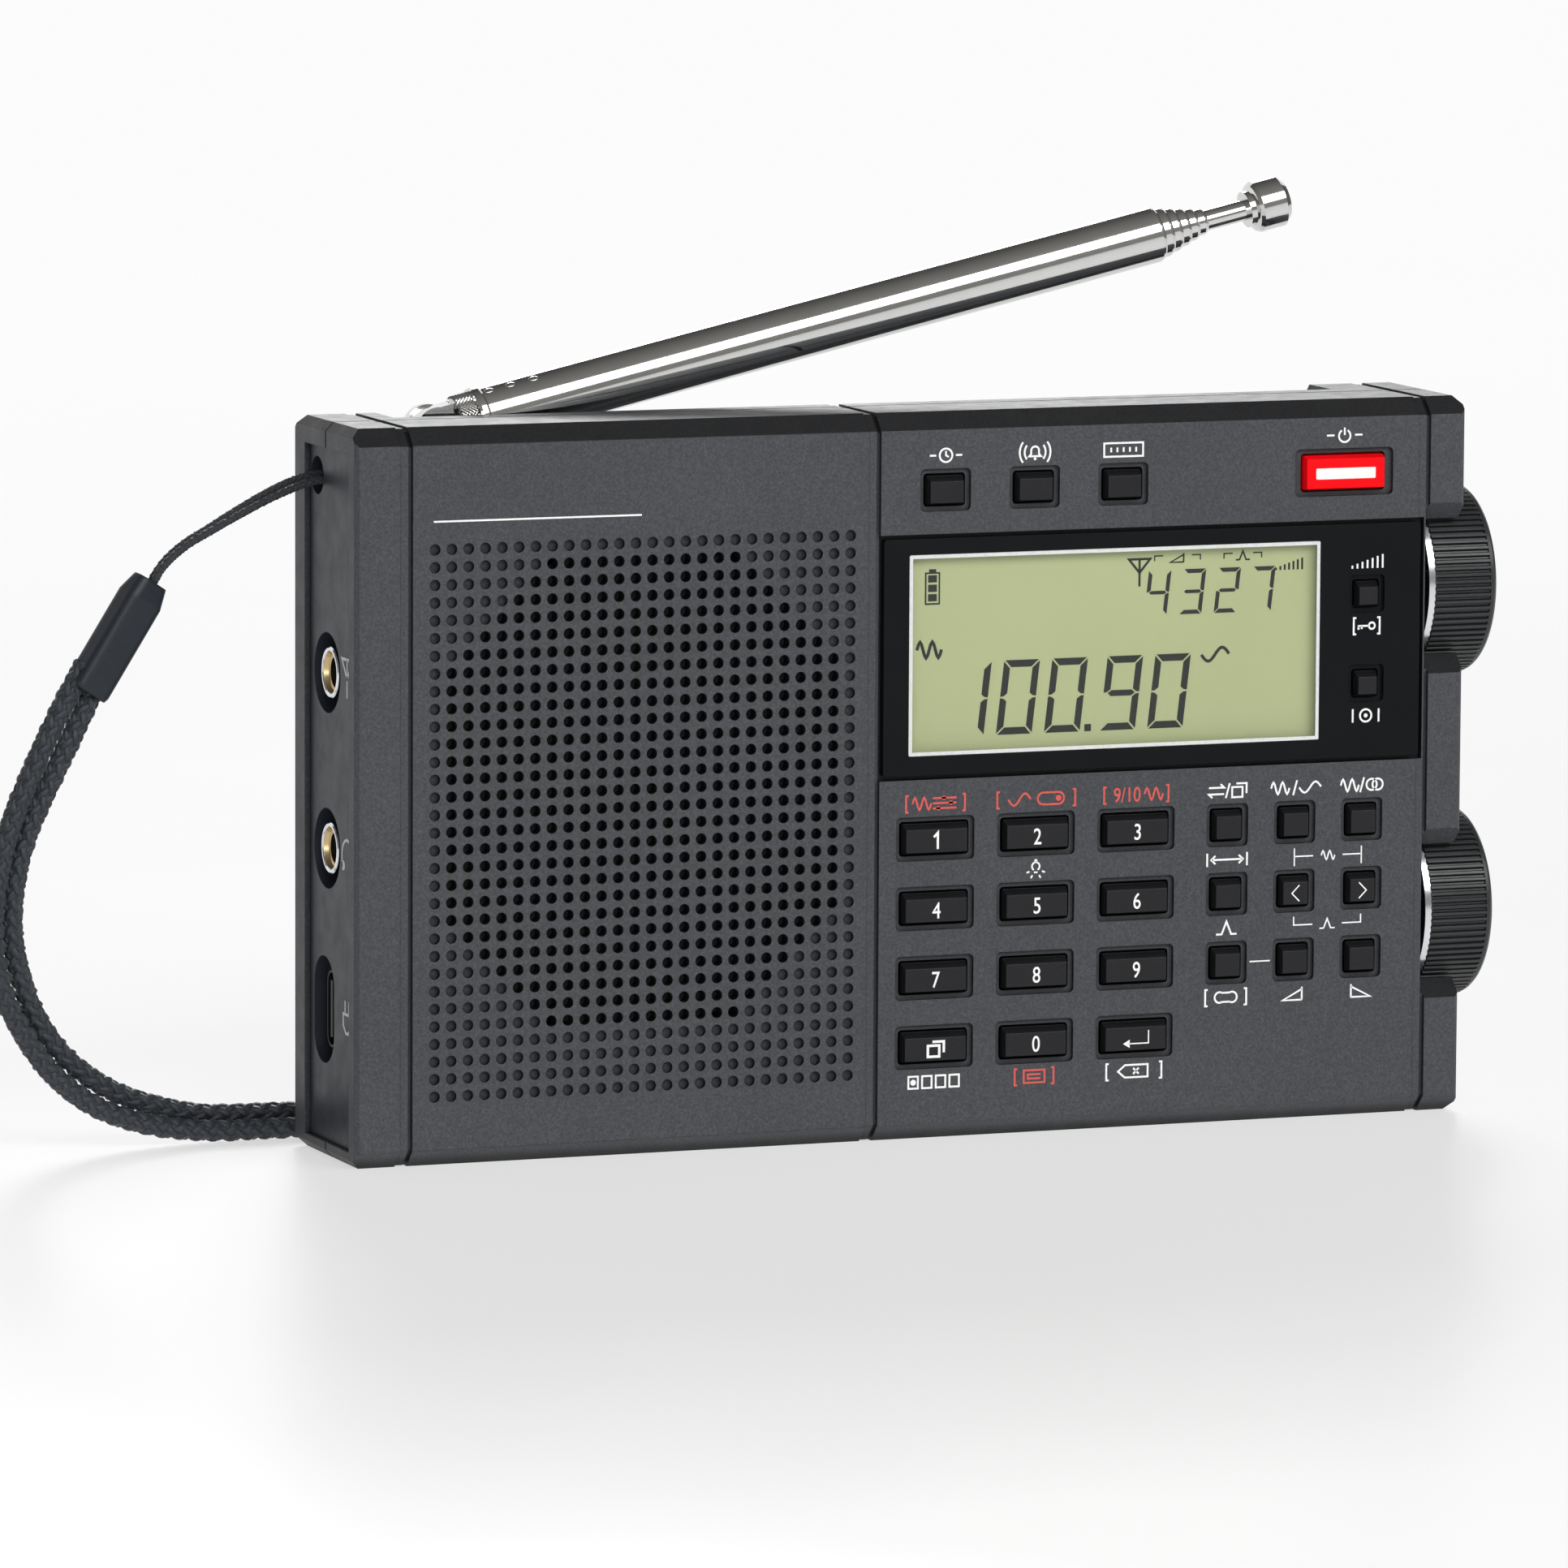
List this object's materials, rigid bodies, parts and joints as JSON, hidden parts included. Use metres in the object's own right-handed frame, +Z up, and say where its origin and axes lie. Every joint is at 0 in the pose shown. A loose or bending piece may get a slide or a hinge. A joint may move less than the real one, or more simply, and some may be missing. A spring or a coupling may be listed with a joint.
{
  "type": "portable multiband radio",
  "caption": "Slim keypad radio with perforated speaker grille, display, side knobs, telescopic aerial, folding stand and wrist strap.",
  "frame": {"origin": "middle of the underside of the case, on the surface it stands on", "axes": "+X along the width towards the knobs, +Y from the front face to the rear, +Z up"},
  "size_m": [0.1813, 0.039, 0.1101],
  "materials": {
    "case_plastic": "fine spark-eroded texture, satin black-grey",
    "panel_plastic": "smooth satin moulded plastic",
    "key_plastic": "smooth satin moulded plastic",
    "power_red": "glossy red moulded plastic",
    "window_gloss": "polished black-printed acrylic",
    "lens_clear": "clear acrylic",
    "lcd_glass": "olive reflective liquid crystal",
    "board_green": "solder mask",
    "speaker_steel": "zinc plated",
    "cone_paper": "black paper cone",
    "battery_wrap": "satin wrap",
    "chrome_plate": "polished plating",
    "spindle_steel": "turned bright",
    "encoder_metal": "pressed can",
    "socket_metal": "nickel plated",
    "screw_steel": "black oxide",
    "strap_cloth": "braided polyester",
    "sleeve_rubber": "moulded soft plastic"
  },
  "bodies": {
    "housing": {"front_shell": "case_plastic", "rear_shell": "case_plastic", "speaker_grille": "case_plastic", "side_panel": "panel_plastic", "display_window": "window_gloss", "display_lens": "lens_clear", "lcd_module": "lcd_glass", "main_board": "board_green", "speaker_basket": "speaker_steel", "speaker_cone": "cone_paper", "battery_pack": "battery_wrap", "encoders": "encoder_metal", "plug_sockets": "socket_metal", "charge_socket": "socket_metal", "screws": "screw_steel", "strap_cord": "strap_cloth", "strap_sleeve": "sleeve_rubber", "strap_braid": "strap_cloth"},
    "battery_cover": {"battery_cover": "case_plastic"},
    "kick_stand": {"kick_stand": "case_plastic"},
    "aerial_turret": {"aerial_turret": "chrome_plate"},
    "aerial_arm": {"aerial_elbow": "chrome_plate", "aerial_tube_1": "chrome_plate"},
    "aerial_section_2": {"aerial_tube_2": "chrome_plate"},
    "aerial_section_3": {"aerial_tube_3": "chrome_plate"},
    "aerial_section_4": {"aerial_tube_4": "chrome_plate"},
    "aerial_section_5": {"aerial_tube_5": "chrome_plate"},
    "aerial_section_6": {"aerial_tube_6": "chrome_plate"},
    "aerial_section_7": {"aerial_rod": "chrome_plate"},
    "upper_knob": {"upper_knob": "key_plastic", "upper_spindle": "spindle_steel"},
    "lower_knob": {"lower_knob": "key_plastic", "lower_spindle": "spindle_steel"},
    "power_key": {"power_key": "power_red"},
    "key_1": {"key_1": "key_plastic"},
    "key_2": {"key_2": "key_plastic"},
    "key_3": {"key_3": "key_plastic"},
    "key_4": {"key_4": "key_plastic"},
    "key_5": {"key_5": "key_plastic"},
    "key_6": {"key_6": "key_plastic"},
    "key_7": {"key_7": "key_plastic"},
    "key_8": {"key_8": "key_plastic"},
    "key_9": {"key_9": "key_plastic"},
    "key_memory": {"key_memory": "key_plastic"},
    "key_0": {"key_0": "key_plastic"},
    "key_enter": {"key_enter": "key_plastic"},
    "top_key_1": {"top_key_1": "key_plastic"},
    "top_key_2": {"top_key_2": "key_plastic"},
    "top_key_3": {"top_key_3": "key_plastic"},
    "side_key_1": {"side_key_1": "key_plastic"},
    "side_key_2": {"side_key_2": "key_plastic"},
    "band_key_1": {"band_key_1": "key_plastic"},
    "band_key_2": {"band_key_2": "key_plastic"},
    "band_key_3": {"band_key_3": "key_plastic"},
    "band_key_4": {"band_key_4": "key_plastic"},
    "band_key_5": {"band_key_5": "key_plastic"},
    "band_key_6": {"band_key_6": "key_plastic"},
    "band_key_7": {"band_key_7": "key_plastic"},
    "band_key_8": {"band_key_8": "key_plastic"},
    "band_key_9": {"band_key_9": "key_plastic"}
  },
  "joints": [
    {"name": "power_key_press", "type": "slide", "parent": "housing", "child": "power_key", "axis": [0, 1, 0], "range_m": [0, 0.0004], "stiffness_N_per_m": 800},
    {"name": "key_1_press", "type": "slide", "parent": "housing", "child": "key_1", "axis": [0, 1, 0], "range_m": [0, 0.0004], "stiffness_N_per_m": 800},
    {"name": "key_2_press", "type": "slide", "parent": "housing", "child": "key_2", "axis": [0, 1, 0], "range_m": [0, 0.0004], "stiffness_N_per_m": 800},
    {"name": "key_3_press", "type": "slide", "parent": "housing", "child": "key_3", "axis": [0, 1, 0], "range_m": [0, 0.0004], "stiffness_N_per_m": 800},
    {"name": "key_4_press", "type": "slide", "parent": "housing", "child": "key_4", "axis": [0, 1, 0], "range_m": [0, 0.0004], "stiffness_N_per_m": 800},
    {"name": "key_5_press", "type": "slide", "parent": "housing", "child": "key_5", "axis": [0, 1, 0], "range_m": [0, 0.0004], "stiffness_N_per_m": 800},
    {"name": "key_6_press", "type": "slide", "parent": "housing", "child": "key_6", "axis": [0, 1, 0], "range_m": [0, 0.0004], "stiffness_N_per_m": 800},
    {"name": "key_7_press", "type": "slide", "parent": "housing", "child": "key_7", "axis": [0, 1, 0], "range_m": [0, 0.0004], "stiffness_N_per_m": 800},
    {"name": "key_8_press", "type": "slide", "parent": "housing", "child": "key_8", "axis": [0, 1, 0], "range_m": [0, 0.0004], "stiffness_N_per_m": 800},
    {"name": "key_9_press", "type": "slide", "parent": "housing", "child": "key_9", "axis": [0, 1, 0], "range_m": [0, 0.0004], "stiffness_N_per_m": 800},
    {"name": "key_memory_press", "type": "slide", "parent": "housing", "child": "key_memory", "axis": [0, 1, 0], "range_m": [0, 0.0004], "stiffness_N_per_m": 800},
    {"name": "key_0_press", "type": "slide", "parent": "housing", "child": "key_0", "axis": [0, 1, 0], "range_m": [0, 0.0004], "stiffness_N_per_m": 800},
    {"name": "key_enter_press", "type": "slide", "parent": "housing", "child": "key_enter", "axis": [0, 1, 0], "range_m": [0, 0.0004], "stiffness_N_per_m": 800},
    {"name": "top_key_1_press", "type": "slide", "parent": "housing", "child": "top_key_1", "axis": [0, 1, 0], "range_m": [0, 0.0004], "stiffness_N_per_m": 800},
    {"name": "top_key_2_press", "type": "slide", "parent": "housing", "child": "top_key_2", "axis": [0, 1, 0], "range_m": [0, 0.0004], "stiffness_N_per_m": 800},
    {"name": "top_key_3_press", "type": "slide", "parent": "housing", "child": "top_key_3", "axis": [0, 1, 0], "range_m": [0, 0.0004], "stiffness_N_per_m": 800},
    {"name": "side_key_1_press", "type": "slide", "parent": "housing", "child": "side_key_1", "axis": [0, 1, 0], "range_m": [0, 0.0004], "stiffness_N_per_m": 800},
    {"name": "side_key_2_press", "type": "slide", "parent": "housing", "child": "side_key_2", "axis": [0, 1, 0], "range_m": [0, 0.0004], "stiffness_N_per_m": 800},
    {"name": "band_key_1_press", "type": "slide", "parent": "housing", "child": "band_key_1", "axis": [0, 1, 0], "range_m": [0, 0.0004], "stiffness_N_per_m": 800},
    {"name": "band_key_2_press", "type": "slide", "parent": "housing", "child": "band_key_2", "axis": [0, 1, 0], "range_m": [0, 0.0004], "stiffness_N_per_m": 800},
    {"name": "band_key_3_press", "type": "slide", "parent": "housing", "child": "band_key_3", "axis": [0, 1, 0], "range_m": [0, 0.0004], "stiffness_N_per_m": 800},
    {"name": "band_key_4_press", "type": "slide", "parent": "housing", "child": "band_key_4", "axis": [0, 1, 0], "range_m": [0, 0.0004], "stiffness_N_per_m": 800},
    {"name": "band_key_5_press", "type": "slide", "parent": "housing", "child": "band_key_5", "axis": [0, 1, 0], "range_m": [0, 0.0004], "stiffness_N_per_m": 800},
    {"name": "band_key_6_press", "type": "slide", "parent": "housing", "child": "band_key_6", "axis": [0, 1, 0], "range_m": [0, 0.0004], "stiffness_N_per_m": 800},
    {"name": "band_key_7_press", "type": "slide", "parent": "housing", "child": "band_key_7", "axis": [0, 1, 0], "range_m": [0, 0.0004], "stiffness_N_per_m": 800},
    {"name": "band_key_8_press", "type": "slide", "parent": "housing", "child": "band_key_8", "axis": [0, 1, 0], "range_m": [0, 0.0004], "stiffness_N_per_m": 800},
    {"name": "band_key_9_press", "type": "slide", "parent": "housing", "child": "band_key_9", "axis": [0, 1, 0], "range_m": [0, 0.0004], "stiffness_N_per_m": 800},
    {"name": "upper_knob_turn", "type": "hinge", "parent": "housing", "child": "upper_knob", "pos_m": [0.069, 0, 0.06245], "axis": [1, 0, 0], "continuous": true},
    {"name": "lower_knob_turn", "type": "hinge", "parent": "housing", "child": "lower_knob", "pos_m": [0.069, 0, 0.0238], "axis": [1, 0, 0], "continuous": true},
    {"name": "aerial_swivel", "type": "hinge", "parent": "housing", "child": "aerial_turret", "pos_m": [-0.0537, 0.00655, 0.0831], "axis": [0, 0, 1], "range_deg": [0, 90]},
    {"name": "aerial_tilt", "type": "hinge", "parent": "aerial_turret", "child": "aerial_arm", "pos_m": [-0.0537, 0.00655, 0.0831], "axis": [0, -1, 0], "range_deg": [-12.8, 77.2]},
    {"name": "aerial_draw_2", "type": "slide", "parent": "aerial_arm", "child": "aerial_section_2", "axis": [0.9751, 0, 0.2215], "range_m": [0, 0.072]},
    {"name": "aerial_draw_3", "type": "slide", "parent": "aerial_section_2", "child": "aerial_section_3", "axis": [0.9751, 0, 0.2215], "range_m": [0, 0.072]},
    {"name": "aerial_draw_4", "type": "slide", "parent": "aerial_section_3", "child": "aerial_section_4", "axis": [0.9751, 0, 0.2215], "range_m": [0, 0.072]},
    {"name": "aerial_draw_5", "type": "slide", "parent": "aerial_section_4", "child": "aerial_section_5", "axis": [0.9751, 0, 0.2215], "range_m": [0, 0.072]},
    {"name": "aerial_draw_6", "type": "slide", "parent": "aerial_section_5", "child": "aerial_section_6", "axis": [0.9751, 0, 0.2215], "range_m": [0, 0.072]},
    {"name": "aerial_draw_7", "type": "slide", "parent": "aerial_section_6", "child": "aerial_section_7", "axis": [0.9751, 0, 0.2215], "range_m": [0, 0.072]},
    {"name": "stand_fold", "type": "hinge", "parent": "housing", "child": "kick_stand", "pos_m": [-0.033, 0.01, 0.046], "axis": [1, 0, 0], "range_deg": [0, 60]},
    {"name": "battery_cover_open", "type": "hinge", "parent": "housing", "child": "battery_cover", "pos_m": [0.024, 0.0103, 0.0097], "axis": [-1, 0, 0], "range_deg": [0, 75]}
  ]
}
